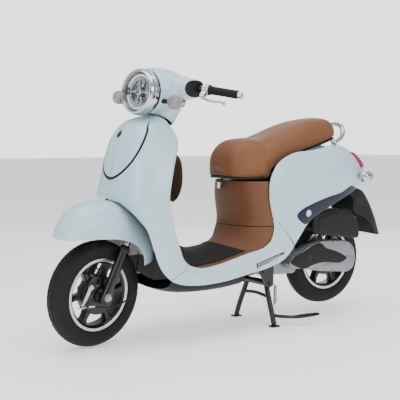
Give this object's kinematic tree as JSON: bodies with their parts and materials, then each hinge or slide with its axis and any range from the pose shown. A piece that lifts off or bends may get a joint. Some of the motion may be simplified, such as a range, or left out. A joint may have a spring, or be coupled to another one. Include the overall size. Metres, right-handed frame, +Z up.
{
  "type": "motor scooter",
  "caption": "Step-through motor scooter with a round headlamp, curved leg shield, brown seat and flat floor, raised on its centre stand.",
  "frame": {"origin": "on the ground under the middle of the bounding box", "axes": "+X forward, +Y the rider's left, +Z up"},
  "size_m": [1.7509, 0.5963, 1.0748],
  "materials": {
    "paint": "pearl white with a pale blue cast",
    "navy": "dark navy gloss",
    "tan_plastic": "brown textured",
    "tan_leather": "brown vinyl",
    "black_plastic": "matte black",
    "rubber": "matte black",
    "tyre": "matte black",
    "black_steel": "satin black",
    "steel": "bright zinc",
    "chrome": "mirror",
    "alloy": "cast, satin",
    "clear_lens": "clear",
    "red_lens": "red"
  },
  "bodies": {
    "chassis": {"front_cover": "paint", "side_skirt_left": "paint", "side_skirt_right": "paint", "rear_cover_left": "paint", "rear_cover_right": "paint", "inner_shield": "tan_plastic", "floor_panel": "tan_plastic", "seat_box_cover": "tan_plastic", "floor_mat": "rubber", "belly_cover": "black_plastic", "inner_fender": "black_plastic", "frame": "black_steel", "luggage_bucket": "black_plastic", "fuel_tank": "black_steel", "tail_lamp_lens": "red_lens", "rear_indicator_left": "chrome", "rear_indicator_right": "chrome", "grab_rail": "chrome", "rear_mudguard": "black_plastic", "side_trim_left": "navy", "side_trim_right": "navy", "shock_upper": "black_steel", "shock_spring": "steel"},
    "glove_lid": {"glove_box_lid": "tan_plastic"},
    "bag_hook": {"bag_hook": "chrome"},
    "seat": {"seat_cushion": "tan_leather", "seat_base": "black_plastic"},
    "steering": {"fork_crown": "black_steel", "front_fender": "paint", "handlebar": "steel", "handlebar_cowl": "paint", "speedometer": "black_plastic", "headlamp_bezel": "chrome", "headlamp_bowl": "chrome", "headlamp_lens": "clear_lens", "front_indicator_left": "clear_lens", "front_indicator_right": "clear_lens", "grip_left": "rubber", "switch_housing_left": "chrome", "switch_housing_right": "chrome"},
    "throttle": {"throttle_grip": "rubber"},
    "left_lever": {"brake_lever_left": "chrome"},
    "right_lever": {"brake_lever_right": "chrome"},
    "horn": {"horn_button": "black_plastic"},
    "starter": {"starter_button": "black_plastic"},
    "fork_lower": {"fork_lowers": "steel", "front_brake_panel": "black_steel", "front_brake_cable": "black_plastic"},
    "brake_arm": {"front_brake_arm": "steel"},
    "front_wheel": {"front_tyre": "tyre", "front_rim": "black_steel"},
    "swing": {"crankcase": "alloy", "engine_cylinder": "alloy", "belt_cover": "alloy", "air_cleaner": "black_plastic", "muffler": "black_steel"},
    "rear_wheel": {"rear_tyre": "tyre", "rear_rim": "black_steel"},
    "shock_rod": {"shock_lower": "steel"},
    "stand": {"centre_stand": "black_steel"}
  },
  "joints": [
    {"name": "glove_lid_hinge", "type": "hinge", "parent": "chassis", "child": "glove_lid", "pos_m": [0.33, 0, 0.546], "axis": [0, -1, 0], "range_deg": [0, 65]},
    {"name": "bag_hook_hinge", "type": "hinge", "parent": "chassis", "child": "bag_hook", "pos_m": [0.041, -0.038, 0.61], "axis": [0, -1, 0], "range_deg": [0, 40]},
    {"name": "seat_hinge", "type": "hinge", "parent": "chassis", "child": "seat", "pos_m": [0.044, 0, 0.622], "axis": [0, 1, 0], "range_deg": [0, 70]},
    {"name": "steering", "type": "hinge", "parent": "chassis", "child": "steering", "pos_m": [0.46717, 0, 0.58668], "axis": [-0.4305, 0, 0.9026], "range_deg": [-42, 18]},
    {"name": "throttle_twist", "type": "hinge", "parent": "steering", "child": "throttle", "pos_m": [0.30974, -0.16461, 1.01714], "axis": [-0.181, -0.9835, -0.0077], "range_deg": [0, 75], "stiffness_Nm_per_rad": 0.4, "springref_deg": -22.92},
    {"name": "left_lever_pivot", "type": "hinge", "parent": "steering", "child": "left_lever", "pos_m": [0.27803, 0.16639, 0.96206], "axis": [0.546, 0.4899, 0.6797], "range_deg": [0, 15], "stiffness_Nm_per_rad": 3, "springref_deg": -14.32},
    {"name": "right_lever_pivot", "type": "hinge", "parent": "steering", "child": "right_lever", "pos_m": [0.33983, -0.15571, 0.99154], "axis": [-0.6645, 0.1281, -0.7362], "range_deg": [0, 15], "stiffness_Nm_per_rad": 3, "springref_deg": -14.32},
    {"name": "horn_press", "type": "slide", "parent": "steering", "child": "horn", "axis": [0.8466, 0.5307, -0.0405], "range_m": [0, 0.002], "stiffness_N_per_m": 900, "springref_m": -0.002},
    {"name": "starter_press", "type": "slide", "parent": "steering", "child": "starter", "axis": [0.9832, -0.1811, 0.0247], "range_m": [0, 0.002], "stiffness_N_per_m": 900, "springref_m": -0.002},
    {"name": "fork_stroke", "type": "slide", "parent": "steering", "child": "fork_lower", "axis": [-0.4305, 0, 0.9026], "range_m": [0, 0.05], "stiffness_N_per_m": 14000, "springref_m": -0.02},
    {"name": "brake_arm_pivot", "type": "hinge", "parent": "fork_lower", "child": "brake_arm", "pos_m": [0.71527, 0.06512, 0.24188], "axis": [-0.1877, 0.9781, -0.0895], "range_deg": [0, 12]},
    {"name": "front_wheel_spin", "type": "hinge", "parent": "fork_lower", "child": "front_wheel", "pos_m": [0.67158, 0.00445, 0.2068], "axis": [-0.1877, 0.9781, -0.0895], "continuous": true},
    {"name": "swing_pivot", "type": "hinge", "parent": "chassis", "child": "swing", "pos_m": [-0.095, 0, 0.232], "axis": [0, 1, 0], "range_deg": [0, 10], "stiffness_Nm_per_rad": 3000, "springref_deg": -2.86, "deforming": ["shock_spring"]},
    {"name": "shock_foot_pivot", "type": "hinge", "parent": "swing", "child": "shock_rod", "pos_m": [-0.545, -0.092, 0.334], "axis": [0, 1, 0], "range_deg": [-10.5, 0.5]},
    {"name": "rear_wheel_spin", "type": "hinge", "parent": "swing", "child": "rear_wheel", "pos_m": [-0.508, 0, 0.251], "axis": [0, 1, 0], "continuous": true},
    {"name": "stand_pivot", "type": "hinge", "parent": "chassis", "child": "stand", "pos_m": [-0.128, 0, 0.178], "axis": [0, 1, 0], "range_deg": [0, 80]}
  ],
  "couplings": [
    {"joint": "shock_foot_pivot", "follows": "swing_pivot", "ratio": -1},
    {"joint": "brake_arm_pivot", "follows": "right_lever_pivot", "ratio": 0.8}
  ]
}
